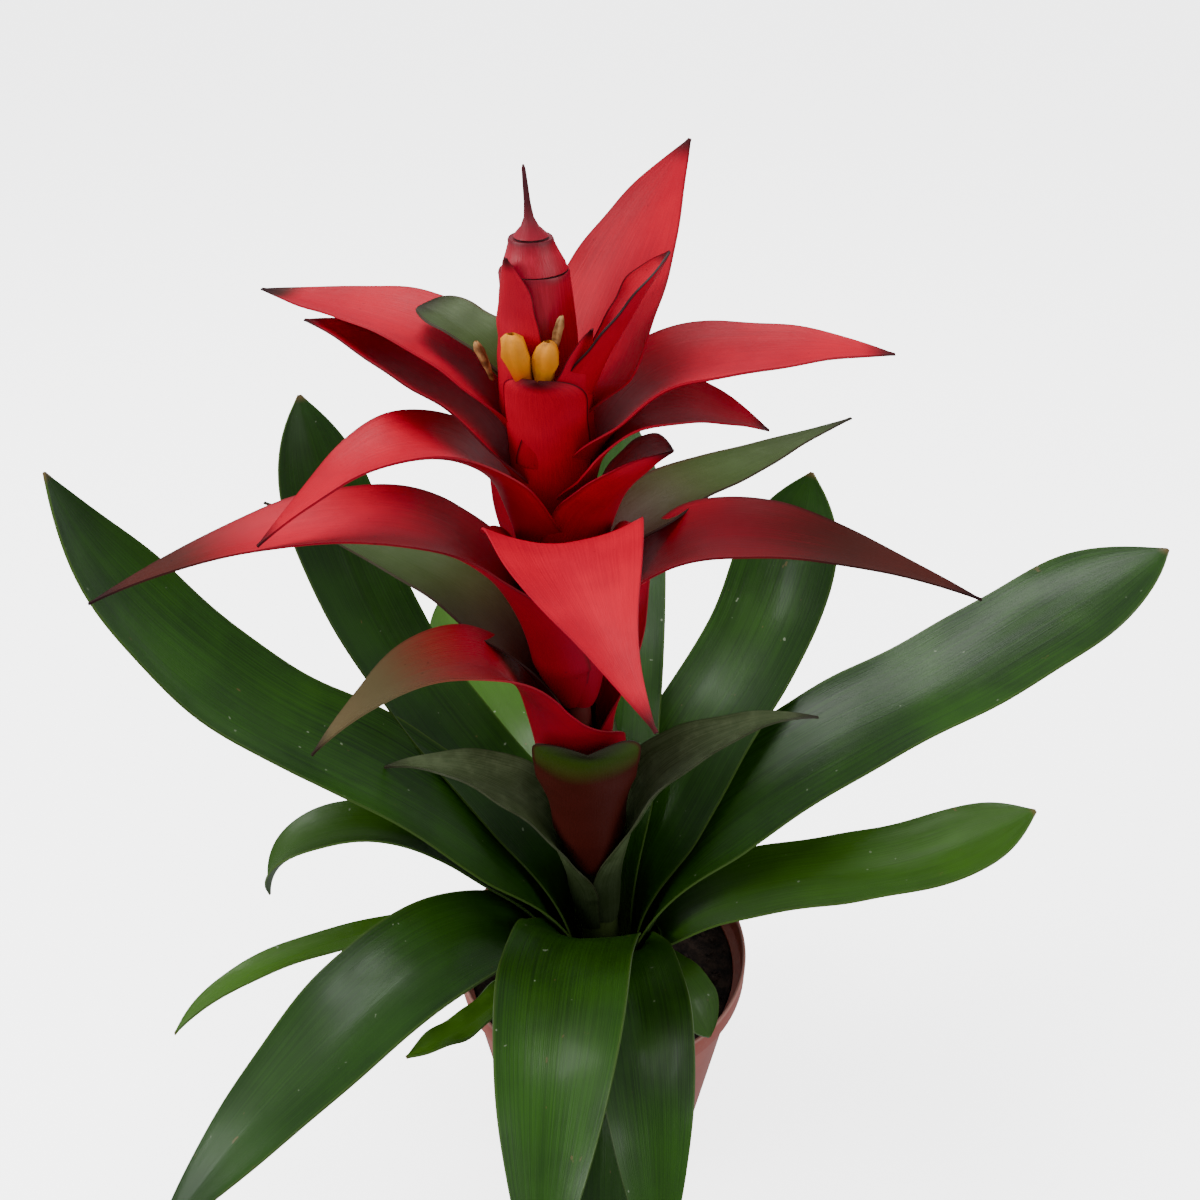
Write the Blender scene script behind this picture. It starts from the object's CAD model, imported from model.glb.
"""Fine surfaces, finishes, light and view for the potted bromeliad."""
import logging
import math
import random
from dataclasses import dataclass, field
from enum import Enum

import bmesh
import bpy
from mathutils import Matrix, Vector, noise


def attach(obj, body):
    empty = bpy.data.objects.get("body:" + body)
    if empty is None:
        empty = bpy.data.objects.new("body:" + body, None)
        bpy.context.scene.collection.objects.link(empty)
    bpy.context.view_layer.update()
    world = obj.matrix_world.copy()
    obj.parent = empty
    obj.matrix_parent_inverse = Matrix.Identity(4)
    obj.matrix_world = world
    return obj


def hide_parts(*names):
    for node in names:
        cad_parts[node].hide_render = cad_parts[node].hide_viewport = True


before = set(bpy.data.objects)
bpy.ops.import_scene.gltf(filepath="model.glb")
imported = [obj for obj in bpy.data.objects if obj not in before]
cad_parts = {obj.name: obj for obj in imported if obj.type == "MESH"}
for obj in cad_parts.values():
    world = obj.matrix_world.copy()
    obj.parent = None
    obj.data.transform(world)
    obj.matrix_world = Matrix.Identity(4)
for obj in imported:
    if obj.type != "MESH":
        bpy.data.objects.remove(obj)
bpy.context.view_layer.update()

MM = 0.001
SEED = 41
STALK_LEAN = 0.073
LEAN_FROM = 0.105
VEIN_DETAIL = 4.0
VEIN_ROUGHNESS = 0.62
LOG = logging.getLogger("bromeliad")


# ---------------------------------------------------------------- shader wiring


class Wire:
    """One output or constant in a shader, with arithmetic written as Python operators."""

    def __init__(self, graph: "Graph", source: object) -> None:
        """Hold a socket or a number, and the graph that it belongs to."""
        self.graph = graph
        self.source = source

    def _maths(self, operation: str, *others: object) -> "Wire":
        """Return a new wire carrying a Math node's result."""
        return self.graph.node("ShaderNodeMath", {"operation": operation}, dict(enumerate((self, *others))))

    def __add__(self, other: object) -> "Wire":
        """Sum."""
        return self._maths("ADD", other)

    def __sub__(self, other: object) -> "Wire":
        """Difference."""
        return self._maths("SUBTRACT", other)

    def __mul__(self, other: object) -> "Wire":
        """Product."""
        return self._maths("MULTIPLY", other)

    def __truediv__(self, other: object) -> "Wire":
        """Quotient."""
        return self._maths("DIVIDE", other)

    def __pow__(self, other: object) -> "Wire":
        """Power."""
        return self._maths("POWER", other)

    def __neg__(self) -> "Wire":
        """Negative."""
        return self._maths("MULTIPLY", -1.0)

    def __abs__(self) -> "Wire":
        """Size without sign."""
        return self._maths("ABSOLUTE")

    def __radd__(self, other: float) -> "Wire":
        """Sum with a number on the left."""
        return self + other

    def __rmul__(self, other: float) -> "Wire":
        """Product with a number on the left."""
        return self * other

    def __rsub__(self, other: float) -> "Wire":
        """Difference from a number on the left."""
        return (-self) + other

    def __rtruediv__(self, other: float) -> "Wire":
        """Quotient with a number on the left."""
        return self.graph.node("ShaderNodeMath", {"operation": "DIVIDE"}, {0: other, 1: self})

    def clipped(self) -> "Wire":
        """Limit to the range 0 to 1."""
        return self.graph.node("ShaderNodeClamp", {}, {"Value": self})

    def step(self, start: float, end: float) -> "Wire":
        """Rise smoothly from 0 at start to 1 at end.

        Args:
            start: the value where the rise starts.
            end: the value where it has reached 1.

        Returns:
            The smooth step of this wire.
        """
        settings = {"interpolation_type": "SMOOTHSTEP", "clamp": True}
        inputs = {"Value": self, "From Min": start, "From Max": end}
        return self.graph.node("ShaderNodeMapRange", settings, inputs)


class Graph:
    """The node tree of one material."""

    def __init__(self, name: str) -> None:
        """Make an empty material with a Principled shader."""
        self.material = bpy.data.materials.new(name)
        self.material.use_nodes = True
        self.tree = self.material.node_tree
        self.shader = self.tree.nodes["Principled BSDF"]

    def connect(self, socket: bpy.types.NodeSocket, value: object) -> None:
        """Link a wire to a socket, or set its constant."""
        if isinstance(value, Wire):
            value = value.source
        if isinstance(value, bpy.types.NodeSocket):
            self.tree.links.new(value, socket)
        else:
            socket.default_value = value

    def node(self, kind: str, settings: dict, inputs: dict, output: object = 0) -> Wire:
        """Add a node.

        Args:
            kind: the node's type name.
            settings: properties, set first.
            inputs: socket name or index to a wire or constant.
            output: name or index of the output to return.

        Returns:
            A wire that carries the chosen output.
        """
        made = self.tree.nodes.new(kind)
        for key, value in settings.items():
            setattr(made, key, value)
        for key, value in inputs.items():
            self.connect(made.inputs[key], value)
        return Wire(self, made.outputs[output])

    def attribute(self, name: str) -> Wire:
        """Read a number stored on the mesh."""
        return self.node("ShaderNodeAttribute", {"attribute_name": name}, {}, "Fac")

    def attributes(self, *names: str) -> list[Wire]:
        """Read several numbers stored on the mesh."""
        return [self.attribute(name) for name in names]

    def vector(self, x: object, y: object, z: object) -> Wire:
        """Join three numbers into a vector."""
        return self.node("ShaderNodeCombineXYZ", {}, {0: x, 1: y, 2: z})

    def place(self) -> Wire:
        """Object coordinates."""
        return self.node("ShaderNodeTexCoord", {}, {}, "Object")

    def noise(self, where: Wire, scale: float, detail: float = 3.0, rough: float = 0.55) -> Wire:
        """Smooth noise between 0 and 1."""
        inputs = {"Vector": where, "Scale": scale, "Detail": detail, "Roughness": rough}
        return self.node("ShaderNodeTexNoise", {}, inputs, "Fac")

    def streaks(self, wires: tuple, stretch: tuple, scale: float) -> Wire:
        """Noise drawn out into fine lengthwise veins.

        Args:
            wires: the blade's across, along and tint.
            stretch: how much each of them is multiplied by.
            scale: the noise's scale.

        Returns:
            A wire between 0 and 1.
        """
        where = self.vector(*(wire * times for wire, times in zip(wires, stretch)))
        return self.noise(where, scale, VEIN_DETAIL, VEIN_ROUGHNESS)

    def blend(self, share: object, first: object, second: object) -> Wire:
        """Mix two colours."""
        made = self.tree.nodes.new("ShaderNodeMix")
        made.data_type = "RGBA"
        made.clamp_factor = True
        self.connect(made.inputs[0], share)
        self.connect(made.inputs[6], first)
        self.connect(made.inputs[7], second)
        return Wire(self, made.outputs[2])

    def bump(self, height: Wire, distance: float, strength: float = 1.0) -> None:
        """Raise the surface by a height."""
        inputs = {"Height": height, "Distance": distance, "Strength": strength}
        self.connect(self.shader.inputs["Normal"], self.node("ShaderNodeBump", {}, inputs))

    def surface(self, colour: object, roughness: object) -> None:
        """Set the surface's colour and roughness."""
        self.connect(self.shader.inputs["Base Color"], colour)
        self.connect(self.shader.inputs["Roughness"], roughness)

    def constants(self, **values: float) -> None:
        """Set constant sockets of the shader; underscores stand for spaces."""
        for key, value in values.items():
            self.shader.inputs[key.replace("_", " ")].default_value = value


def rgb(red: float, green: float, blue: float) -> tuple[float, float, float, float]:
    """Linear colour with full alpha."""
    return (red, green, blue, 1.0)


# ---------------------------------------------------------------- finishes


@dataclass(frozen=True)
class LeafFinish:
    """Glossy strap leaf: deep green above with fine lengthwise veins, greyer below."""

    deep: tuple = rgb(0.0038, 0.0190, 0.0002)
    lively: tuple = rgb(0.0170, 0.0680, 0.0006)
    margin: tuple = rgb(0.060, 0.110, 0.015)
    foot: tuple = rgb(0.040, 0.070, 0.004)
    under: tuple = rgb(0.034, 0.062, 0.016)
    young: tuple = rgb(0.060, 0.160, 0.004)
    chalk: tuple = rgb(0.200, 0.240, 0.160)
    scar: tuple = rgb(0.120, 0.070, 0.025)
    roughness: float = 0.34
    stretch: tuple = (26.0, 1.6, 9.0)
    fleck_stretch: tuple = (5.0, 30.0, 4.0)
    vein_scale: float = 2.2
    fleck_scale: float = 1.3
    cloud_scale: float = 24.0
    speck_scale: float = 330.0
    coat: float = 0.06
    relief: float = 0.0004

    def material(self) -> bpy.types.Material:
        """Build the leaf material."""
        graph = Graph("leaf_green")
        along, across, under, tint, fresh = graph.attributes("along", "across", "under", "tint", "fresh")
        veins = graph.streaks((across, along, tint), self.stretch, self.vein_scale)
        cloud = graph.noise(graph.place(), self.cloud_scale)
        lively = (veins.step(0.30, 0.72) * 0.55 + cloud.step(0.35, 0.70) * 0.45) * (0.55 + tint * 0.9)
        colour = graph.blend(lively, self.deep, self.lively)
        colour = graph.blend(fresh * (0.5 + veins * 0.5), colour, self.young)
        colour = graph.blend((1.0 - along.step(0.0, 0.10)) * 0.5, colour, self.foot)
        colour = graph.blend(under * (0.55 + veins * 0.3), colour, self.under)
        edge = abs(across).step(0.955, 0.998)
        colour = graph.blend(edge * 0.45, colour, self.margin)
        spots = (wire * times for wire, times in zip((across, along, tint), self.fleck_stretch))
        fleck = graph.noise(graph.vector(*spots), self.fleck_scale, 2.0)
        colour = graph.blend(fleck.step(0.735, 0.775) * 0.5, colour, self.scar)
        colour = graph.blend(along.step(0.985, 1.0) * 0.8, colour, self.scar)
        speck = graph.noise(graph.place(), self.speck_scale, 1.0)
        colour = graph.blend(speck.step(0.775, 0.80) * 0.6, colour, self.chalk)
        graph.surface(colour, self.roughness + veins * 0.10 + under * 0.14)
        graph.constants(IOR=1.34, Specular_IOR_Level=0.36, Coat_Roughness=0.20)
        graph.connect(graph.shader.inputs["Coat Weight"], self.coat * (1.0 - under))
        graph.bump(veins * 0.6 + cloud * 0.4, self.relief, 0.5)
        return graph.material


@dataclass(frozen=True)
class StalkBractFinish:
    """Green bract with a grey bloom, darker ends and a red flush toward the stalk."""

    olive: tuple = rgb(0.030, 0.048, 0.011)
    bloom: tuple = rgb(0.100, 0.132, 0.060)
    end: tuple = rgb(0.016, 0.010, 0.006)
    flush: tuple = rgb(0.055, 0.0008, 0.0014)
    foot: tuple = rgb(0.010, 0.018, 0.004)
    fresh: tuple = rgb(0.032, 0.062, 0.003)
    roughness: float = 0.43
    stretch: tuple = (22.0, 2.2, 7.0)
    vein_scale: float = 2.4
    mottle_scale: float = 95.0
    relief: float = 0.0004

    def material(self) -> bpy.types.Material:
        """Build the stalk bract material."""
        graph = Graph("stalk_bract_green")
        along, across, under, tint, flush = graph.attributes("along", "across", "under", "tint", "flush")
        veins = graph.streaks((across, along, tint), self.stretch, self.vein_scale)
        mottle = graph.noise(graph.place(), self.mottle_scale, 4.0, 0.65)
        dusty = (veins.step(0.30, 0.70) * 0.6 + mottle.step(0.42, 0.66) * 0.4) * (1.0 - flush * 0.6)
        colour = graph.blend(dusty, self.olive, self.bloom)
        reach = along - (flush - 1.0) * 0.35
        lively = flush * reach.step(0.20, 0.50) * (1.0 - reach.step(0.5, 0.85)) * 0.6
        colour = graph.blend(lively, colour, self.fresh)
        reddened = (1.0 - reach.step(0.10, 0.62)) * flush + abs(across).step(0.90, 1.0) * flush * 0.5
        colour = graph.blend(reddened.clipped() * 0.92, colour, self.flush)
        plain = (1.0 - flush).clipped()
        colour = graph.blend((1.0 - along.step(0.0, 0.22)) * plain * 0.8, colour, self.foot)
        colour = graph.blend(along.step(0.86, 1.0) * 0.85, colour, self.end)
        colour = graph.blend(abs(across).step(0.965, 1.0) * 0.55, colour, self.end)
        graph.surface(colour, self.roughness + mottle * 0.14 + under * 0.08)
        graph.constants(IOR=1.30, Specular_IOR_Level=0.40)
        graph.bump(veins * 0.7 + mottle * 0.3, self.relief, 0.6)
        return graph.material


@dataclass(frozen=True)
class BractFinish:
    """Waxy red bract: bright blade, deeper sheath, dark margins and drawn-out tip."""

    bright: tuple = rgb(0.430, 0.0001, 0.0150)
    rich: tuple = rgb(0.290, 0.0001, 0.0115)
    sheath: tuple = rgb(0.210, 0.0001, 0.0080)
    pale: tuple = rgb(0.440, 0.0160, 0.0400)
    burnt: tuple = rgb(0.022, 0.0085, 0.0040)
    olive: tuple = rgb(0.095, 0.095, 0.040)
    tip: tuple = rgb(0.010, 0.0016, 0.0022)
    roughness: float = 0.38
    stretch: tuple = (20.0, 1.8, 8.0)
    vein_scale: float = 2.2
    cloud_scale: float = 42.0
    speck_scale: float = 520.0
    coat: float = 0.02
    relief: float = 0.0004

    def material(self) -> bpy.types.Material:
        """Build the red bract material."""
        graph = Graph("bract_red")
        along, across, under, tint = graph.attributes("along", "across", "under", "tint")
        faded, margin, fresh = graph.attributes("faded", "margin", "fresh")
        veins = graph.streaks((across, along, tint), self.stretch, self.vein_scale)
        cloud = graph.noise(graph.place(), self.cloud_scale)
        mix = veins.step(0.30, 0.72) * 0.5 + cloud.step(0.35, 0.68) * 0.5
        colour = graph.blend(mix, self.rich, self.bright)
        colour = graph.blend((1.0 - along.step(0.03, 0.34)) * 0.75, colour, self.sheath)
        sheen = along.step(0.34, 0.52) * (1.0 - along.step(0.60, 0.82)) * (1.0 - abs(across).step(0.1, 0.8))
        colour = graph.blend(sheen * (0.04 + tint * 0.14), colour, self.pale)
        colour = graph.blend(under * 0.08, colour, self.pale)
        ragged = (faded + (veins - 0.5) * 0.35 * faded.step(0.02, 0.3)).clipped()
        aged = graph.blend(fresh, self.burnt, self.olive)
        colour = graph.blend(ragged.step(0.08, 0.60) * 0.92, colour, aged)
        colour = graph.blend(along.step(0.91, 0.99) * 0.9, colour, self.tip)
        colour = graph.blend(abs(across).step(0.93, 1.0) * margin, colour, self.tip)
        speck = graph.noise(graph.place(), self.speck_scale, 1.0)
        colour = graph.blend(speck.step(0.74, 0.80) * 0.35, colour, self.tip)
        graph.surface(colour, self.roughness + cloud * 0.12 + under * 0.08 + faded * 0.08)
        graph.constants(IOR=1.22, Specular_IOR_Level=0.40, Coat_Roughness=0.28)
        graph.connect(graph.shader.inputs["Coat Weight"], self.coat * (1.0 - under))
        graph.bump(veins * 0.7 + cloud * 0.3, self.relief, 0.5)
        return graph.material


@dataclass(frozen=True)
class BudFinish:
    """Closed bud scales: crimson with purple-dark ends and a soft pale stripe."""

    crimson: tuple = rgb(0.290, 0.0002, 0.0120)
    lit: tuple = rgb(0.400, 0.0080, 0.0300)
    dark: tuple = rgb(0.022, 0.0008, 0.0045)
    roughness: float = 0.36
    cloud_scale: float = 130.0
    stripe_stretch: tuple = (24.0, 1.5)
    stripe_scale: float = 2.0
    relief: float = 0.0003

    def material(self) -> bpy.types.Material:
        """Build the bud material."""
        graph = Graph("bud_crimson")
        along, across, dark = graph.attributes("along", "across", "dark")
        cloud = graph.noise(graph.place(), self.cloud_scale)
        round_it, up_it = self.stripe_stretch
        stripe = graph.noise(graph.vector(across * round_it, along * up_it, 2.0), self.stripe_scale)
        colour = graph.blend(stripe.step(0.35, 0.72) * 0.6 + cloud * 0.2, self.crimson, self.lit)
        colour = graph.blend(dark * (0.75 + cloud * 0.25), colour, self.dark)
        graph.surface(colour, self.roughness + cloud * 0.12)
        graph.constants(Specular_IOR_Level=0.25)
        graph.bump(stripe, self.relief, 0.5)
        return graph.material


@dataclass(frozen=True)
class PetalFinish:
    """Small flowers: yellow lobes, orange toward the foot, brown where withered."""

    lobe: tuple = rgb(0.560, 0.200, 0.0001)
    foot: tuple = rgb(0.440, 0.050, 0.0002)
    brown: tuple = rgb(0.120, 0.045, 0.012)
    straw: tuple = rgb(0.380, 0.200, 0.070)
    roughness: float = 0.48
    cloud_scale: float = 300.0
    relief: float = 0.0004

    def material(self, withered: bool) -> bpy.types.Material:
        """Build the fresh or the withered petal material.

        Args:
            withered: True for the dried flowers.

        Returns:
            The material.
        """
        graph = Graph("petal_withered" if withered else "petal_yellow")
        along = graph.attribute("along")
        cloud = graph.noise(graph.place(), self.cloud_scale, 4.0)
        if withered:
            colour = graph.blend(cloud.step(0.35, 0.65), self.brown, self.straw)
        else:
            colour = graph.blend(along.step(0.10, 0.55), self.foot, self.lobe)
            colour = graph.blend(cloud.step(0.58, 0.80) * 0.5, colour, self.foot)
            colour = graph.blend(along.step(0.86, 1.0) * cloud.step(0.40, 0.60) * 0.8, colour, self.brown)
        graph.surface(colour, self.roughness + cloud * 0.2)
        graph.constants(Specular_IOR_Level=0.22)
        graph.bump(cloud, self.relief, 0.6)
        return graph.material


@dataclass(frozen=True)
class StemFinish:
    """Stalk: green at the foot, reddening upward."""

    green: tuple = rgb(0.030, 0.050, 0.006)
    red: tuple = rgb(0.090, 0.0008, 0.0020)
    roughness: float = 0.5
    reddens: tuple = (0.15, 0.25)
    unevenness: float = 0.05
    cloud_scale: float = 160.0
    relief: float = 0.0003

    def material(self) -> bpy.types.Material:
        """Build the stalk material."""
        graph = Graph("stalk_skin")
        place = graph.place()
        height = graph.node("ShaderNodeSeparateXYZ", {}, {0: place}, 2)
        cloud = graph.noise(place, self.cloud_scale, 4.0)
        reddened = (height + (cloud - 0.5) * self.unevenness).step(*self.reddens)
        colour = graph.blend(reddened, self.green, self.red)
        graph.surface(colour, self.roughness + cloud * 0.15)
        graph.bump(cloud, self.relief, 0.6)
        return graph.material


@dataclass(frozen=True)
class PeatFinish:
    """Moist dark peat with paler fibres and a few light grains."""

    dark: tuple = rgb(0.0095, 0.0060, 0.0048)
    brown: tuple = rgb(0.046, 0.027, 0.019)
    grain: tuple = rgb(0.210, 0.170, 0.130)
    roughness: float = 0.86
    coarse_scale: float = 140.0
    fine_scale: float = 620.0
    relief: float = 0.0016

    def material(self) -> bpy.types.Material:
        """Build the peat material."""
        graph = Graph("peat_dark")
        place = graph.place()
        coarse = graph.noise(place, self.coarse_scale, 5.0, 0.7)
        fine = graph.noise(place, self.fine_scale)
        colour = graph.blend(coarse.step(0.38, 0.66), self.dark, self.brown)
        colour = graph.blend(fine.step(0.70, 0.78) * 0.55, colour, self.grain)
        graph.surface(colour, self.roughness + fine * 0.12)
        graph.constants(Specular_IOR_Level=0.25)
        graph.bump(coarse * 0.7 + fine * 0.3, self.relief, 0.8)
        return graph.material


@dataclass(frozen=True)
class PotFinish:
    """Thin terracotta-pink plastic: satin wall, paler worn rim and a little dust."""

    wall: tuple = rgb(0.310, 0.066, 0.040)
    warm: tuple = rgb(0.260, 0.050, 0.030)
    rim: tuple = rgb(0.360, 0.170, 0.135)
    dust: tuple = rgb(0.330, 0.240, 0.200)
    roughness: float = 0.46
    worn: tuple = (0.0016, 0.0002)
    dusty_to: float = 0.022
    cloud_scale: float = 28.0
    fine_scale: float = 420.0
    relief: float = 0.00012

    def material(self, height: float) -> bpy.types.Material:
        """Build the pot material.

        Args:
            height: the height of the pot's rim.

        Returns:
            The material.
        """
        graph = Graph("pot_plastic")
        place = graph.place()
        level = graph.node("ShaderNodeSeparateXYZ", {}, {0: place}, 2)
        cloud, fine = graph.noise(place, self.cloud_scale), graph.noise(place, self.fine_scale)
        colour = graph.blend(cloud.step(0.36, 0.66), self.warm, self.wall)
        worn = level.step(*(height - below for below in self.worn))
        colour = graph.blend(worn * 0.8, colour, self.rim)
        low = 1.0 - level.step(0.0, self.dusty_to)
        colour = graph.blend((low * 0.5 + 0.12) * fine.step(0.50, 0.72), colour, self.dust)
        graph.surface(colour, self.roughness + fine * 0.12 + low * 0.1)
        graph.constants(Specular_IOR_Level=0.40)
        graph.bump(fine * 0.5 + cloud * 0.5, self.relief, 0.4)
        return graph.material


@dataclass(frozen=True)
class FloorFinish:
    """Plain pale floor, faintly uneven in tone, with a glow of its own."""

    tone: tuple = rgb(0.93, 0.93, 0.93)
    shade: tuple = rgb(0.90, 0.90, 0.90)
    glow: float = 3.4

    def material(self) -> bpy.types.Material:
        """Build the floor material."""
        graph = Graph("pale_floor")
        cloud = graph.noise(graph.place(), 3.0, 2.0)
        graph.surface(graph.blend(cloud, self.tone, self.shade), 0.75 + cloud * 0.05)
        graph.shader.inputs["Emission Color"].default_value = rgb(1.0, 1.0, 1.0)
        graph.constants(Specular_IOR_Level=0.2, Emission_Strength=self.glow)
        return graph.material


# ---------------------------------------------------------------- mesh helpers


def smooth(share: float) -> float:
    """Smooth step of a share between 0 and 1."""
    share = min(max(share, 0.0), 1.0)
    return share * share * (3 - 2 * share)


def along_list(values: tuple, share: float) -> float:
    """Value at a share of the way along an evenly spaced list.

    Args:
        values: the list's values.
        share: how far along, from 0 to 1.

    Returns:
        The value there, on a straight line between its two neighbours.
    """
    place = min(max(share, 0.0), 1.0) * (len(values) - 1)
    index = min(int(place), len(values) - 2)
    return values[index] + (values[index + 1] - values[index]) * (place - index)


def lean_at(height: float) -> float:
    """How far to the side the middle of the leaning stalk is at a height."""
    return -STALK_LEAN * max(0.0, height - LEAN_FROM)


def axis_at(height: float) -> Vector:
    """Centre of the leaning stalk at a height."""
    return Vector((lean_at(height), 0.0, height))


def open_mesh(*names: str) -> bmesh.types.BMesh:
    """Make an empty mesh that stores a number for each vertex under each name."""
    mesh = bmesh.new()
    for name in names:
        mesh.verts.layers.float.new(name)
    return mesh


def turned(profile: list, sides: int, *names: str) -> bmesh.types.BMesh:
    """Surface of revolution about Z.

    Args:
        profile: (radius, height) points.
        sides: steps round the full turn.
        names: numbers that the mesh will store for each vertex.

    Returns:
        The turned mesh, with doubles merged.
    """
    mesh = open_mesh(*names)
    verts = [mesh.verts.new((radius, 0.0, height)) for radius, height in profile]
    edges = [mesh.edges.new(pair) for pair in zip(verts, verts[1:])]
    bmesh.ops.spin(
        mesh, geom=verts + edges, cent=(0, 0, 0), axis=(0, 0, 1),
        angle=math.tau, steps=sides, use_merge=True,
    )
    bmesh.ops.remove_doubles(mesh, verts=mesh.verts, dist=1e-6)
    return mesh


def finish_mesh(name: str, mesh: bmesh.types.BMesh, material: bpy.types.Material,
                crease: float = 50.0) -> bpy.types.Object:
    """Turn a mesh into a dressed object at the origin, its normals pointing out.

    Args:
        name: the piece's name.
        mesh: the mesh, which is freed.
        material: its finish.
        crease: the angle in degrees above which an edge stays sharp.

    Returns:
        The new object.
    """
    bmesh.ops.recalc_face_normals(mesh, faces=mesh.faces)
    data = bpy.data.meshes.new(name)
    mesh.to_mesh(data)
    mesh.free()
    data.shade_smooth()
    data.set_sharp_from_angle(angle=math.radians(crease))
    data.materials.append(material)
    piece = bpy.data.objects.new(name, data)
    bpy.context.scene.collection.objects.link(piece)
    return piece


def hand_over(piece: bpy.types.Object, node: str | None = None) -> None:
    """Tell the frame which body the piece rides on and which node it replaces."""
    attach(piece, "root")
    if node is not None:
        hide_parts(node)
    LOG.info("piece %s: %d faces", piece.name, len(piece.data.polygons))


# ---------------------------------------------------------------- blades


class Tip(Enum):
    """How a blade ends."""

    POINTED = "pointed"
    DRAWN = "drawn"


@dataclass(frozen=True)
class Outline:
    """How wide a blade is along its length, and how far its clasping foot reaches."""

    full_at: float
    taper_from: float
    taper_power: float
    sheath_to: float
    clasp: float
    tip: Tip


STRAP = Outline(0.24, 0.70, 2.4, 0.24, 1.25, Tip.POINTED)
TAPER = Outline(0.24, 0.45, 1.9, 0.24, 1.25, Tip.POINTED)
ROUND_STRAP = Outline(0.24, 0.76, 2.7, 0.24, 1.25, Tip.POINTED)
LANCE = Outline(0.34, 0.34, 1.35, 0.32, 1.80, Tip.DRAWN)
SPEAR = Outline(0.34, 0.46, 1.65, 0.32, 1.80, Tip.POINTED)
CUP = Outline(0.45, 0.58, 2.2, 0.75, 1.30, Tip.POINTED)
LIP = Outline(0.45, 0.78, 3.2, 0.75, 1.30, Tip.POINTED)


@dataclass(frozen=True)
class Blade:
    """One leaf or bract, in millimetres and degrees, with its look."""

    node: str
    outline: Outline
    ring: float
    height: float
    turn: tuple
    rise: tuple
    length: float
    width: float
    channel: float
    wave: float = 0.6
    keel: float = 0.3
    faded: float = 2.0
    margin: float = 0.25
    flush: float = 0.0
    clasp: float | None = None
    fresh: float = 0.0
    seat: float = 0.0


BLADE_LAYERS = ("along", "across", "under", "tint", "faded", "margin", "flush", "fresh")


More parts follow.
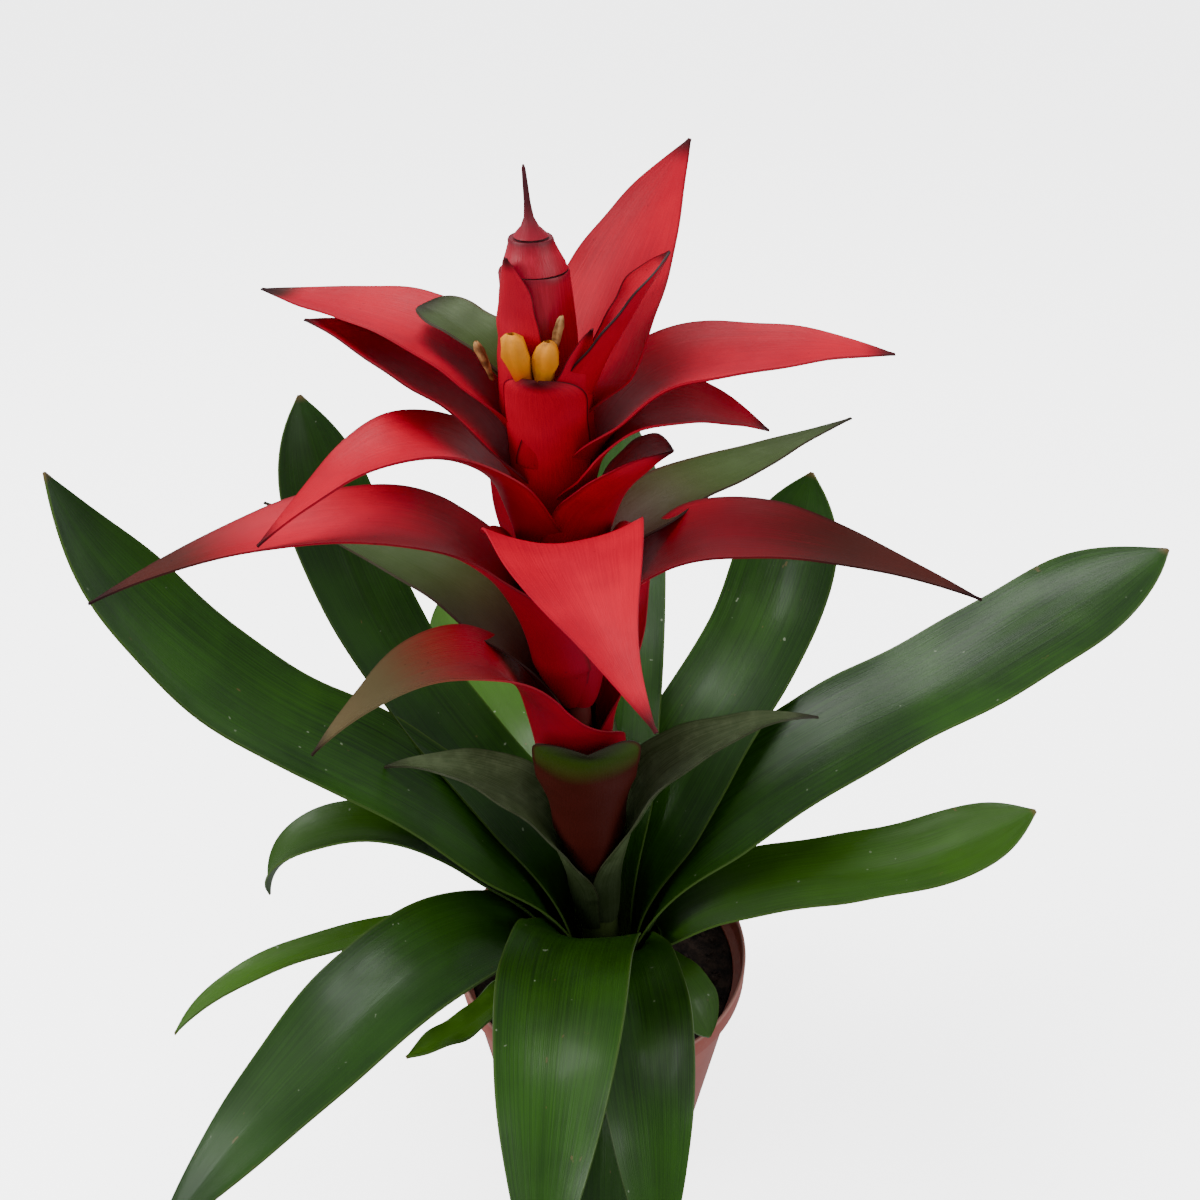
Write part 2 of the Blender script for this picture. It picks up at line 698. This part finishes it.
@dataclass
class BladeMaker:
    """Builds the fine meshes of one kind of leaf or bract, each along its own midrib."""

    blades: tuple
    material: bpy.types.Material
    slot: str
    thickness: float
    drop: float
    low_ring: float
    along_cells: int = 72
    across_cells: int = 20
    foot_cells: int = 8
    foot_slope: float = 66.0
    foot_steepens: float = 10.0
    foot_spread: float = 0.75
    foot_width: float = 0.72
    drawn_from: float = 0.35
    drawn_by: float = 0.35
    least_width: float = 0.0008
    ripples: tuple = ((17, 1.0, 0.0, 0.6), (31, 2.3, 1.0, 0.4))
    ripple_inset: float = 1.5
    lump_pitch: tuple = (6, 1.5)
    lump_depth: float = 0.8
    keel_sharpness: int = 4
    chance: random.Random = field(default_factory=lambda: random.Random(SEED))

    def build(self) -> None:
        """Build every blade of this kind."""
        for blade in self.blades:
            self.add(blade)

    def foot(self, blade: Blade) -> list:
        """Stations of the sheath below the blade, narrowing down to the stalk."""
        turn = math.radians(blade.turn[0])
        out = Vector((math.cos(turn), math.sin(turn), 0))
        side = Vector((-math.sin(turn), math.cos(turn), 0))
        low = max(self.low_ring, blade.seat * blade.ring * MM)
        stations = []
        for index in range(self.foot_cells):
            share = index / self.foot_cells
            ring = low + (blade.ring * MM - low) * share ** self.foot_spread
            height = blade.height * MM - self.drop * (1 - share)
            slope = math.radians(self.foot_slope + self.foot_steepens * share)
            heading = out * math.cos(slope) + Vector((0, 0, math.sin(slope)))
            stations.append((axis_at(height) + out * ring, heading, side, -1.0, ring))
        return stations

    def midrib(self, blade: Blade) -> list:
        """Walk the midrib.

        Args:
            blade: the blade's plan.

        Returns:
            Point, heading, sideways vector, share and foot radius at each station.
        """
        turn = math.radians(blade.turn[0])
        point = axis_at(blade.height * MM)
        point += Vector((math.cos(turn), math.sin(turn), 0)) * blade.ring * MM
        step = blade.length * MM / self.along_cells
        stations = self.foot(blade)
        for index in range(self.along_cells + 1):
            share = index / self.along_cells
            turn = math.radians(along_list(blade.turn, share))
            rise = math.radians(along_list(blade.rise, share))
            level = Vector((math.cos(turn), math.sin(turn), 0))
            heading = level * math.cos(rise) + Vector((0, 0, math.sin(rise)))
            side = Vector((-level.y, level.x, 0))
            stations.append((point.copy(), heading, side, share, blade.ring * MM))
            point += heading * step
        return stations

    def width_at(self, blade: Blade, share: float) -> float:
        """Width of the open blade at a share of its length."""
        outline = blade.outline
        width = self.foot_width + (1 - self.foot_width) * smooth(share / outline.full_at)
        if share > outline.taper_from:
            gone = (share - outline.taper_from) / (1 - outline.taper_from)
            width *= max(0.0, 1 - gone ** outline.taper_power)
            if outline.tip is Tip.DRAWN:
                width *= 1 - self.drawn_by * smooth((gone - self.drawn_from) / (1 - self.drawn_from))
        return max(width * blade.width * MM, self.least_width)

    def lift_at(self, blade: Blade, share: float, across: float, phase: float, drift: float) -> float:
        """How far the open blade's surface leaves its plain curve, by waves, lumps and the keel.

        Args:
            blade: the blade's plan.
            share: how far along the blade.
            across: how far across it, from -1 to 1.
            phase: where its waves start.
            drift: where its lumps are read from.

        Returns:
            The lift where the blade is fully open and at its full width.
        """
        wave = sum(
            math.sin(share * pitch + phase * shift + across * skew) * depth
            for pitch, shift, skew, depth in self.ripples
        )
        wave *= blade.wave * abs(across) ** self.ripple_inset
        long_pitch, cross_pitch = self.lump_pitch
        lump = noise.noise(Vector((share * long_pitch, across * cross_pitch, drift)))
        lump *= blade.wave * self.lump_depth
        return (wave + lump - blade.keel * (1 - abs(across)) ** self.keel_sharpness) * MM

    def add(self, blade: Blade) -> None:
        """Build and dress one blade, and let it replace its solid."""
        mesh = open_mesh(*BLADE_LAYERS)
        layers = {name: mesh.verts.layers.float[name] for name in BLADE_LAYERS}
        cells = self.along_cells + self.foot_cells
        bmesh.ops.create_grid(mesh, x_segments=cells, y_segments=self.across_cells, size=1.0)
        stations = self.midrib(blade)
        clasp = blade.clasp if blade.clasp is not None else blade.outline.clasp
        phase, drift = self.chance.uniform(0, math.tau), self.chance.uniform(0, 50)
        tint = self.chance.uniform(0.0, 1.0)
        fading = max(0.05, 1 - min(blade.faded, 0.95))
        for vert in mesh.verts:
            across = vert.co.y
            point, heading, side, share, ring = stations[round((vert.co.x + 1) / 2 * cells)]
            opened = smooth(max(share, 0.0) / blade.outline.sheath_to)
            closed_width = 2 * clasp * ring
            width = closed_width + (self.width_at(blade, max(share, 0.0)) - closed_width) * opened
            angle = clasp + (blade.channel - clasp) * opened
            radius = width / (2 * angle)
            swing = across * angle
            uneven = self.lift_at(blade, share, across, phase, drift) * opened * width / (blade.width * MM)
            lift = radius * (1 - math.cos(swing)) + uneven
            vert.co = point + side * radius * math.sin(swing) + heading.cross(side) * lift
            looks = {
                "along": max(share, 0.0), "across": across, "tint": tint, "margin": blade.margin,
                "faded": max(0.0, share - blade.faded) / fading, "flush": blade.flush, "fresh": blade.fresh,
            }
            for name, value in looks.items():
                vert[layers[name]] = value
        self.thicken(mesh)
        hand_over(finish_mesh(blade.node + "_fine", mesh, self.material, 60.0), blade.node)

    def thicken(self, mesh: bmesh.types.BMesh) -> None:
        """Give the sheet its thickness and mark the vertices of its underside."""
        mesh.normal_update()
        sheet = [(vert, vert.co.copy(), vert.normal.copy()) for vert in mesh.verts]
        bmesh.ops.solidify(mesh, geom=mesh.faces[:], thickness=self.thickness)
        known = {vert for vert, _, _ in sheet}
        added = [vert for vert in mesh.verts if vert not in known]
        probe = added[len(added) // 2]
        _, place, normal = min(sheet, key=lambda item: (item[1] - probe.co).length)
        raised = (probe.co - place).dot(normal) > 0
        layer = mesh.verts.layers.float["under"]
        for vert in mesh.verts:
            vert[layer] = 1.0 if (vert in known) == raised else 0.0



LEAVES = (
    Blade("leaf_01", STRAP, 23.5, 103, (192, 195, 196), (72, 14, -3, -20, -56), 174, 12, 0.50, fresh=0.7),
    Blade("leaf_02", STRAP, 22.8, 103, (224, 222, 210), (68, 18, -12, 0, 2), 80, 12, 0.60,
          wave=1.4, fresh=1.0),
    Blade("leaf_03", STRAP, 22.8, 103, (310, 311, 311), (76, 54, 8, -42, -64), 59, 20, 0.50, fresh=0.3),
    Blade("leaf_04", ROUND_STRAP, 21.5, 104, (-4, -1, 8), (72, 28, 8, 22, 36), 171, 36, 0.40,
          wave=0.9, fresh=0.35),
    Blade("leaf_05", STRAP, 19.6, 104, (180, 184, 186), (76, 46, 36, -20, -86), 164, 25, 0.80, fresh=0.4),
    Blade("leaf_06", STRAP, 20.0, 104, (270, 269, 268), (72, 18, -28, -54, -68), 172, 26, 0.45),
    Blade("leaf_07", TAPER, 21.0, 104, (221, 226, 220), (74, 40, -10, -24, -42), 218, 46, 0.40, wave=1.2),
    Blade("leaf_08", TAPER, 17.5, 106, (285, 274, 274), (78, 36, -2, -42, -64), 165, 36, 0.40, wave=1.0),
    Blade("leaf_09", TAPER, 16.0, 107, (254, 266, 266), (80, 48, 2, -34, -54), 188, 46, 0.40, wave=1.4),
    Blade("leaf_11", ROUND_STRAP, 17.2, 107, (22, 19, 18), (78, 31, 17, 27, 26), 279, 54, 0.42, wave=1.3),
    Blade("leaf_12", STRAP, 16.5, 107, (175, 180, 181), (78, 42, 34, 56, 86), 281, 54, 0.42, wave=1.2),
    Blade("leaf_13", ROUND_STRAP, 14.5, 109, (49, 51, 56), (83, 42, 28, 56, 80), 212, 48, 0.42, wave=0.9),
    Blade("leaf_14", ROUND_STRAP, 14.0, 110, (148, 146, 112), (83, 37, 45, 62, 64), 250, 40, 0.42,
          wave=0.9),
    Blade("leaf_15", STRAP, 19.6, 105, (120, 115, 112), (76, 24, 4, 2, 6), 196, 34, 0.45,
          wave=0.9, fresh=0.5),
    Blade("leaf_16", STRAP, 12.0, 113, (80, 86, 98), (82, 43, 33, 39, 42), 235, 35, 0.45, wave=0.9),
)

STALK_BRACTS = (
    Blade("stalk_bract_01", LANCE, 10.5, 142, (174, 174, 174), (86, 68, 33, 10, -24), 106, 36, 0.70,
          wave=1.4),
    Blade("stalk_bract_02", LANCE, 9.8, 146, (5, 5, 6), (86, 76, 42, 24, -12), 120, 36, 0.75, wave=1.0),
    Blade("stalk_bract_03", LANCE, 9.8, 150, (96, 98, 98), (86, 72, 44, 24, 0), 118, 27, 0.75),
    Blade("stalk_bract_04", LIP, 13.6, 176, (268, 272, 272), (84, 82, 80, 74, 52), 60, 42, 0.80,
          flush=1.8, margin=0.1, clasp=1.7, wave=1.2),
    Blade("stalk_bract_05", LANCE, 9.8, 228, (153, 158, 159), (80, 40, 15, 11, 12), 140, 36, 0.45,
          flush=1.0),
    Blade("stalk_bract_06", LANCE, 8.6, 274, (33, 33, 32), (80, 22, 5, 9, 6), 130, 30, 0.70, flush=1.0),
    Blade("stalk_bract_07", LIP, 6.2, 338, (152, 150, 147), (86, 62, 38, 20, 8), 58, 22, 0.60,
          flush=1.0, clasp=1.8),
)

HEAD_BRACTS = (
    Blade("bract_01", LANCE, 16.0, 211, (213, 210, 207), (84, 76, 27, -22, -44), 128, 44, 0.60,
          faded=0.42, clasp=2.6, wave=0.8, fresh=1.0),
    Blade("bract_02", LANCE, 10.6, 214, (75, 72, 70), (80, 66, 30, 0, -24), 128, 38, 0.55, clasp=2.5),
    Blade("bract_03", LANCE, 13.4, 256, (198, 199, 200), (82, 56, 10, -8, -22), 172, 46, 0.50,
          faded=0.62, margin=0.5),
    Blade("bract_04", LANCE, 12.0, 256, (-13, -16, -17), (82, 58, 6, -9, -18), 153, 46, 0.40,
          faded=0.30, margin=0.5),
    Blade("bract_05", LANCE, 10.6, 262, (108, 106, 104), (80, 56, 18, -4, -22), 134, 38, 0.50),
    Blade("bract_06", LANCE, 14.8, 287, (270, 279, 296), (84, 42, 8, -5, -14), 142, 48, 0.42,
          wave=1.0, clasp=1.9, margin=0.1),
    Blade("bract_07", LANCE, 12.0, 292, (204, 206, 207), (82, 72, 18, -28, -36), 124, 46, 0.55, margin=0.4),
    Blade("bract_08", CUP, 13.4, 290, (-30, -28, -28), (86, 80, 66, 50, 40), 62, 46, 0.90,
          clasp=1.8, margin=0.5),
    Blade("bract_09", SPEAR, 10.6, 314, (-2, 1, 3), (82, 76, 14, -14, -24), 81, 48, 0.50),
    Blade("bract_10", SPEAR, 9.4, 312, (166, 168, 168), (82, 63, 24, 28, 12), 98, 42, 0.55, margin=0.8),
    Blade("bract_11", LIP, 13.2, 318, (262, 260, 258), (88, 84, 80, 78, 74), 50, 29, 1.00,
          margin=1.0, seat=0.92),
    Blade("bract_12", SPEAR, 8.7, 318, (2, -1, -1), (80, 56, 12, 5, -3), 119, 48, 0.50),
    Blade("bract_13", SPEAR, 7.9, 326, (157, 157, 156), (82, 48, 12, 2, 6), 117, 40, 0.55, faded=0.86),
    Blade("bract_14", SPEAR, 7.1, 332, (39, 37, 37), (86, 58, 62, 60, 55), 101, 48, 0.45),
    Blade("bract_15", CUP, 10.6, 341, (-30, -12, 8), (80, 70, 64, 60, 58), 66, 28, 0.80, margin=1.0),
    Blade("bract_16", CUP, 14.4, 336, (-56, -44, -34), (86, 84, 80, 78, 76), 46, 16, 0.90, margin=0.9),
    Blade("bract_17", CUP, 13.0, 350, (226, 224, 222), (86, 88, 92, 92, 90), 49, 19, 0.95, margin=0.9),
)


def rosette() -> BladeMaker:
    """Strap leaves that clasp one another at the foot and arch out over the pot."""
    green = LeafFinish().material()
    return BladeMaker(LEAVES, green, "leaf", thickness=0.0008, drop=0.014, low_ring=0.0094)


def stalk_bracts() -> BladeMaker:
    """Green bracts that sheath the flower stalk."""
    grey_green = StalkBractFinish().material()
    return BladeMaker(STALK_BRACTS, grey_green, "stalk_bract", thickness=0.0007, drop=0.022, low_ring=0.0072)


def flower_head() -> BladeMaker:
    """Red bracts spiralling up the stalk below the closed bud."""
    red = BractFinish().material()
    return BladeMaker(HEAD_BRACTS, red, "bract", thickness=0.0006, drop=0.020, low_ring=0.0062)


@dataclass
class FlowerStalk:
    """Leaning stalk with its buried crown."""

    sides: int = 32
    levels: tuple = (
        (0.0622, 0.0030), (0.0700, 0.0046), (0.0940, 0.0082), (0.1180, 0.0077), (0.1400, 0.0063),
        (0.1800, 0.0051), (0.2400, 0.0047), (0.3000, 0.0043), (0.3300, 0.0039), (0.3468, 0.0035),
    )
    cuts: int = 6
    grain_pitch: tuple = (300, 300, 40)
    roughness: float = 0.0003
    usual_radius: float = 0.005

    def build(self) -> None:
        """Build the stalk."""
        profile = [(0.0, self.levels[0][0])]
        for (low, thin), (high, thick) in zip(self.levels, self.levels[1:]):
            shares = [cut / self.cuts for cut in range(self.cuts)]
            profile += [(thin + (thick - thin) * share, low + (high - low) * share) for share in shares]
        profile += [(self.levels[-1][1], self.levels[-1][0]), (0.0, self.levels[-1][0])]
        mesh = turned(profile, self.sides)
        for vert in mesh.verts:
            bend = axis_at(vert.co.z).x
            grain = noise.noise(Vector(place * pitch for place, pitch in zip(vert.co, self.grain_pitch)))
            vert.co.xy *= 1 + grain * self.roughness / self.usual_radius
            vert.co.x += bend
        hand_over(finish_mesh("stem_fine", mesh, StemFinish().material()), "stem")


@dataclass
class Bud:
    """Closed bud of nested scales with a thin drawn-out tail."""

    foot: float = 0.3475
    sides: int = 48
    flattening: float = 0.04
    sideways: float = 0.0012
    lower: tuple = (
        (0.0002, 0.0044), (0.0030, 0.0062), (0.0100, 0.0092), (0.0180, 0.0106), (0.0270, 0.0110),
        (0.0360, 0.0108), (0.0430, 0.0105), (0.0447, 0.0105), (0.0454, 0.0102), (0.0450, 0.0096),
    )
    upper: tuple = (
        (0.0456, 0.0097), (0.0475, 0.0092), (0.0505, 0.0078), (0.0530, 0.0068), (0.0540, 0.0067),
        (0.0545, 0.0064), (0.0542, 0.0056),
    )
    tail: tuple = (
        (0.0548, 0.0051), (0.0556, 0.0046), (0.0575, 0.0027), (0.0600, 0.0015), (0.0640, 0.0010),
        (0.0690, 0.0008), (0.0730, 0.0006), (0.0742, 0.0003),
    )

    def build(self) -> None:
        """Build the bud's three scales."""
        material = BudFinish().material()
        scales = (
            ("bud_lower", self.lower, (0.95, 1.0, 0.55)),
            ("bud_upper", self.upper, (0.72, 1.0, 0.8)),
            ("bud_tail", self.tail, (-0.4, 0.6, 1.0)),
        )
        for name, rings, darkness in scales:
            outline = [(radius, rise) for rise, radius in rings]
            profile = [(0.0, rings[0][0]), *outline, (0.0, rings[-1][0])]
            mesh = turned(profile, self.sides, "along", "across", "dark")
            self.shape(mesh, rings, darkness)
            hand_over(finish_mesh(name + "_fine", mesh, material, 70.0), name)

    def shape(self, mesh: bmesh.types.BMesh, rings: tuple, darkness: tuple) -> None:
        """Lean one scale, make it slightly uneven and store where it darkens.

        Args:
            mesh: the turned scale.
            rings: its (height, radius) levels.
            darkness: start and end of the darkening along it, and its strength.
        """
        low, high = rings[0][0], max(rise for rise, _ in rings)
        layers = {name: mesh.verts.layers.float[name] for name in ("along", "across", "dark")}
        start, end, strength = darkness
        for vert in mesh.verts:
            share = (vert.co.z - low) / (high - low)
            angle = math.atan2(vert.co.y, vert.co.x)
            fold = 1 - self.flattening * 0.5 * (1 - math.cos(3 * angle + share * 2.0))
            vert[layers["along"]] = share
            vert[layers["across"]] = angle / math.pi
            vert[layers["dark"]] = strength * smooth((share - start) / (end - start))
            vert.co.xy *= fold
            vert.co.z += self.foot
            vert.co.x += self.sideways + lean_at(vert.co.z)


@dataclass(frozen=True)
class Floret:
    """One small flower: where it stands beside the bud, how it leans and its size."""

    node: str
    offset: tuple
    height: float
    lean: tuple
    length: float
    radius: float

    @property
    def withered(self) -> bool:
        """Whether the flower has dried up."""
        return self.node.startswith("withered")


@dataclass
class Flowers:
    """Yellow hooded petals and two dried flowers at the foot of the bud."""

    sides: int = 30
    outline: tuple = (
        (0.30, 0.0), (0.52, 0.04), (0.66, 0.25), (0.86, 0.45), (1.0, 0.62), (0.96, 0.76),
        (0.74, 0.90), (0.40, 0.98), (0.30, 0.99), (0.24, 0.94), (0.20, 0.84),
    )
    throat: float = 0.80
    lobe_depth: float = 0.30
    fresh_crumple: tuple = (0.34, 190.0)
    dry_crumple: tuple = (0.60, 420.0)
    florets: tuple = (
        Floret("petal_01", (-0.0036, -0.0142), 0.3622, (-0.20, -0.16), 0.018, 0.0049),
        Floret("petal_02", (0.0012, -0.0140), 0.3600, (0.10, -0.18), 0.018, 0.0044),
        Floret("withered_flower_01", (-0.0145, -0.0030), 0.3600, (-0.32, -0.12), 0.013, 0.0018),
        Floret("withered_flower_02", (0.0046, -0.0118), 0.3700, (0.22, -0.10), 0.014, 0.0017),
    )

    def build(self) -> None:
        """Build the four small flowers."""
        fresh, dry = PetalFinish().material(False), PetalFinish().material(True)
        for floret in self.florets:
            mesh = self.shape(floret)
            piece = finish_mesh(floret.node + "_fine", mesh, dry if floret.withered else fresh, 70.0)
            hand_over(piece, floret.node)

    def shape(self, floret: Floret) -> bmesh.types.BMesh:
        """Mesh of one floret.

        Args:
            floret: its plan.

        Returns:
            A lobed, hooded tube, crumpled if it is withered.
        """
        size, tall = floret.radius, floret.length
        skin = [(size * wide, tall * up) for wide, up in self.outline]
        profile = [(0.0, 0.0), *skin, (0.0, tall * self.throat)]
        mesh = turned(profile, self.sides, "along")
        layer = mesh.verts.layers.float["along"]
        stand = Vector((*floret.offset, floret.height))
        stand.x += lean_at(floret.height)
        rough, pitch = self.dry_crumple if floret.withered else self.fresh_crumple
        for vert in mesh.verts:
            up, angle = vert.co.z, math.atan2(vert.co.y, vert.co.x)
            vert[layer] = up / tall
            lobes = 1 - self.lobe_depth * (up / tall) * abs(math.cos(1.5 * angle)) ** 6
            crumple = 1 - rough * abs(noise.noise(vert.co * pitch + stand * 900))
            vert.co.xy *= lobes * crumple
            vert.co += stand + Vector((floret.lean[0] * up, floret.lean[1] * up, 0))
        return mesh


@dataclass
class NurseryPot:
    """Thin plastic pot: tapering wall, stepped rim band and holes in its floor."""

    height: float = 0.105
    rim_radius: float = 0.060
    base_radius: float = 0.043
    wall_top_radius: float = 0.0584
    wall: float = 0.0014
    floor: float = 0.0018
    recess: float = 0.0008
    recess_radius: float = 0.0355
    band: float = 0.010
    lip: float = 0.0006
    sides: int = 120
    wall_rows: int = 14
    wall_from: float = 0.0016
    wall_short: float = 0.0008
    hole_radius: float = 0.004
    hole_circle: float = 0.029
    holes: int = 6
    hole_sides: int = 28
    drill_length: float = 0.02

    def wall_radius(self, height: float) -> float:
        """Outer radius of the tapering wall at a height."""
        return self.base_radius + (self.wall_top_radius - self.base_radius) * height / self.height

    def profile(self) -> list:
        """Outline of the pot from the middle of its underside round to the middle of its floor."""
        band_foot, top, lip = self.height - self.band, self.height, self.lip
        low, high = self.floor + self.wall_from, band_foot - self.wall_short
        rows = [low + (high - low) * row / self.wall_rows for row in range(self.wall_rows + 1)]
        outer = [(self.wall_radius(level), level) for level in rows]
        inner = [(self.wall_radius(level) - self.wall, level) for level in reversed(rows)]
        rim, bore = self.rim_radius, self.rim_radius - self.wall
        return [
            (0.0, self.recess), (self.recess_radius - lip, self.recess), (self.recess_radius, 0.0),
            (self.base_radius - 2 * lip, 0.0), (self.base_radius - 0.5 * lip, 0.3 * lip),
            (self.base_radius, 1.4 * lip), *outer,
            (rim - lip, band_foot), (rim - 0.3 * lip, band_foot + 0.3 * lip),
            (rim - 0.2 * lip, band_foot + lip),
            (rim, top - 1.2 * lip), (rim - 0.2 * lip, top - 0.4 * lip), (rim - 0.7 * lip, top),
            (bore + 0.7 * lip, top), (bore + 0.2 * lip, top - 0.4 * lip), (bore, top - lip),
            (bore - 0.2 * lip, band_foot + lip), *inner,
            (self.wall_radius(self.floor) - self.wall - 0.4 * lip, self.floor + lip),
            (self.wall_radius(self.floor) - self.wall - 2 * lip, self.floor), (0.0, self.floor),
        ]

    def punch(self, mesh: bmesh.types.BMesh) -> bmesh.types.BMesh:
        """Cut the drain holes through the floor.

        Args:
            mesh: the turned pot, which is freed.

        Returns:
            The pot with its holes.
        """
        bmesh.ops.recalc_face_normals(mesh, faces=mesh.faces)
        drills = bmesh.new()
        for index in range(self.holes):
            turn = Matrix.Rotation(math.tau * index / self.holes, 4, "Z")
            bmesh.ops.create_cone(
                drills, cap_ends=True, segments=self.hole_sides, radius1=self.hole_radius,
                radius2=self.hole_radius, depth=self.drill_length,
                matrix=turn @ Matrix.Translation((self.hole_circle, 0, 0)),
            )
        shells = []
        for name, source in (("pot_blank", mesh), ("pot_drills", drills)):
            data = bpy.data.meshes.new(name)
            source.to_mesh(data)
            source.free()
            shell = bpy.data.objects.new(name, data)
            bpy.context.scene.collection.objects.link(shell)
            shells.append(shell)
        blank, cutter = shells
        cut = blank.modifiers.new("holes", "BOOLEAN")
        cut.operation, cut.object, cut.solver = "DIFFERENCE", cutter, "EXACT"
        graph = bpy.context.evaluated_depsgraph_get()
        punched = bmesh.new()
        punched.from_mesh(blank.evaluated_get(graph).to_mesh())
        for shell in shells:
            data = shell.data
            bpy.data.objects.remove(shell)
            bpy.data.meshes.remove(data)
        return punched

    def build(self) -> None:
        """Build the pot."""
        mesh = self.punch(turned(self.profile(), self.sides))
        piece = finish_mesh("pot_fine", mesh, PotFinish().material(self.height), 40.0)
        hand_over(piece, "pot")


@dataclass
class PeatFill:
    """Moist peat filling the pot, with an uneven crumbly top."""

    top: float = 0.0935
    bottom: float = 0.0022
    top_radius: float = 0.0550
    bottom_radius: float = 0.0395
    crown_radius: float = 0.0088
    rings: int = 40
    sides: int = 144
    relief: float = 0.0014
    swells: tuple = ((55, 3.0, 0.9), (210, 9.0, 0.5))
    top_band: float = 0.001
    wall_gap: float = 0.001
    crumbs: int = 420
    crumb_size: tuple = (0.0006, 0.0022)
    chance: random.Random = field(default_factory=lambda: random.Random(SEED + 1))

    def surface(self, x: float, y: float) -> float:
        """Height of the uneven top at a point."""
        swell = 0.0
        for pitch, level, share in self.swells:
            swell += noise.noise(Vector((x * pitch, y * pitch, level))) * share
        return self.top + self.relief * swell

    def build(self) -> None:
        """Build the peat and the crumbs lying on it."""
        material = PeatFinish().material()
        rows = [self.top_radius * (1 - row / self.rings) for row in range(self.rings)]
        profile = [(0.0, self.bottom), (self.bottom_radius, self.bottom)]
        profile += [(radius, self.top) for radius in rows] + [(0.0, self.top)]
        mesh = turned(profile, self.sides)
        for vert in mesh.verts:
            if vert.co.z > self.top - self.top_band:
                vert.co.z = self.surface(vert.co.x, vert.co.y)
        hand_over(finish_mesh("peat_fine", mesh, material, 180.0), "peat")
        noise.seed_set(SEED)  # noise_vector, which roughens the crumbs, would otherwise follow the clock
        crumbs = bmesh.new()
        for _ in range(self.crumbs):
            self.add_crumb(crumbs)
        hand_over(finish_mesh("peat_crumbs", crumbs, material, 180.0))

    def add_crumb(self, mesh: bmesh.types.BMesh) -> None:
        """Drop one small crumb on the peat."""
        size = self.chance.uniform(*self.crumb_size)
        reach = self.top_radius - self.wall_gap - size
        distance = math.sqrt(self.chance.uniform(self.crown_radius ** 2 / reach ** 2, 1.0)) * reach
        turn = self.chance.uniform(0, math.tau)
        x, y = distance * math.cos(turn), distance * math.sin(turn)
        flat = Matrix.Diagonal((1.0, self.chance.uniform(0.5, 0.9), self.chance.uniform(0.4, 0.7), 1.0))
        spin = Matrix.Rotation(self.chance.uniform(0, math.tau), 4, "Z")
        place = Matrix.Translation((x, y, self.surface(x, y) + size * 0.15)) @ spin @ flat
        made = bmesh.ops.create_icosphere(mesh, subdivisions=1, radius=size, matrix=place)
        for vert in made["verts"]:
            vert.co += noise.noise_vector(vert.co * 800) * size * 0.3


@dataclass
class Studio:
    """Plain pale floor, soft light from large panels, and the camera."""

    floor_size: float = 6.0
    camera_place: tuple = (-0.001, -0.337, 0.506)
    camera_pitch: float = 34.0
    lens: float = 36.0
    sensor: float = 36.0
    sky: tuple = rgb(0.93, 0.95, 1.0)
    sky_strength: float = 0.72
    lit_point: tuple = (0.0, 0.0, 0.22)
    panels: tuple = (
        ("panel_top", (-0.25, 0.25, 1.5), 0.7, 22.0),
        ("panel_left", (-1.3, -0.5, 1.0), 0.6, 18.0),
        ("panel_right", (1.2, -0.7, 0.9), 0.6, 9.0),
    )

    def panel(self, name: str, place: tuple, size: float, power: float) -> None:
        """Hang a square light panel that faces the plant.

        Args:
            name: the panel's name.
            place: where it hangs.
            size: the length of its side.
            power: its power in watts.
        """
        data = bpy.data.lights.new(name, "AREA")
        data.size, data.energy = size, power
        lamp = bpy.data.objects.new(name, data)
        lamp.location = place
        aim = Vector(self.lit_point) - Vector(place)
        lamp.rotation_euler = aim.to_track_quat("-Z", "Y").to_euler()
        bpy.context.scene.collection.objects.link(lamp)

    def build(self) -> None:
        """Build the floor, the lights, the world and the camera."""
        mesh = bmesh.new()
        bmesh.ops.create_grid(mesh, x_segments=2, y_segments=2, size=self.floor_size)
        floor = finish_mesh("floor", mesh, FloorFinish().material())
        floor.visible_diffuse = False
        floor.visible_glossy = False
        for plan in self.panels:
            self.panel(*plan)
        world = bpy.data.worlds.new("soft_sky")
        world.use_nodes = True
        background = world.node_tree.nodes["Background"]
        background.inputs["Color"].default_value = self.sky
        background.inputs["Strength"].default_value = self.sky_strength
        bpy.context.scene.world = world
        data = bpy.data.cameras.new("camera")
        data.lens, data.sensor_width = self.lens, self.sensor
        camera = bpy.data.objects.new("camera", data)
        camera.location = self.camera_place
        camera.rotation_euler = (math.radians(90 - self.camera_pitch), 0.0, 0.0)
        bpy.context.scene.collection.objects.link(camera)
        bpy.context.scene.camera = camera


def main() -> None:
    """Build every part of the plant, then the studio round it."""
    logging.basicConfig(level=logging.INFO, format="%(message)s")
    plant = (FlowerStalk(), stalk_bracts(), rosette(), flower_head(), Bud(), Flowers())
    for part in (NurseryPot(), PeatFill(), *plant, Studio()):
        part.build()


if __name__ == "__main__":
    main()
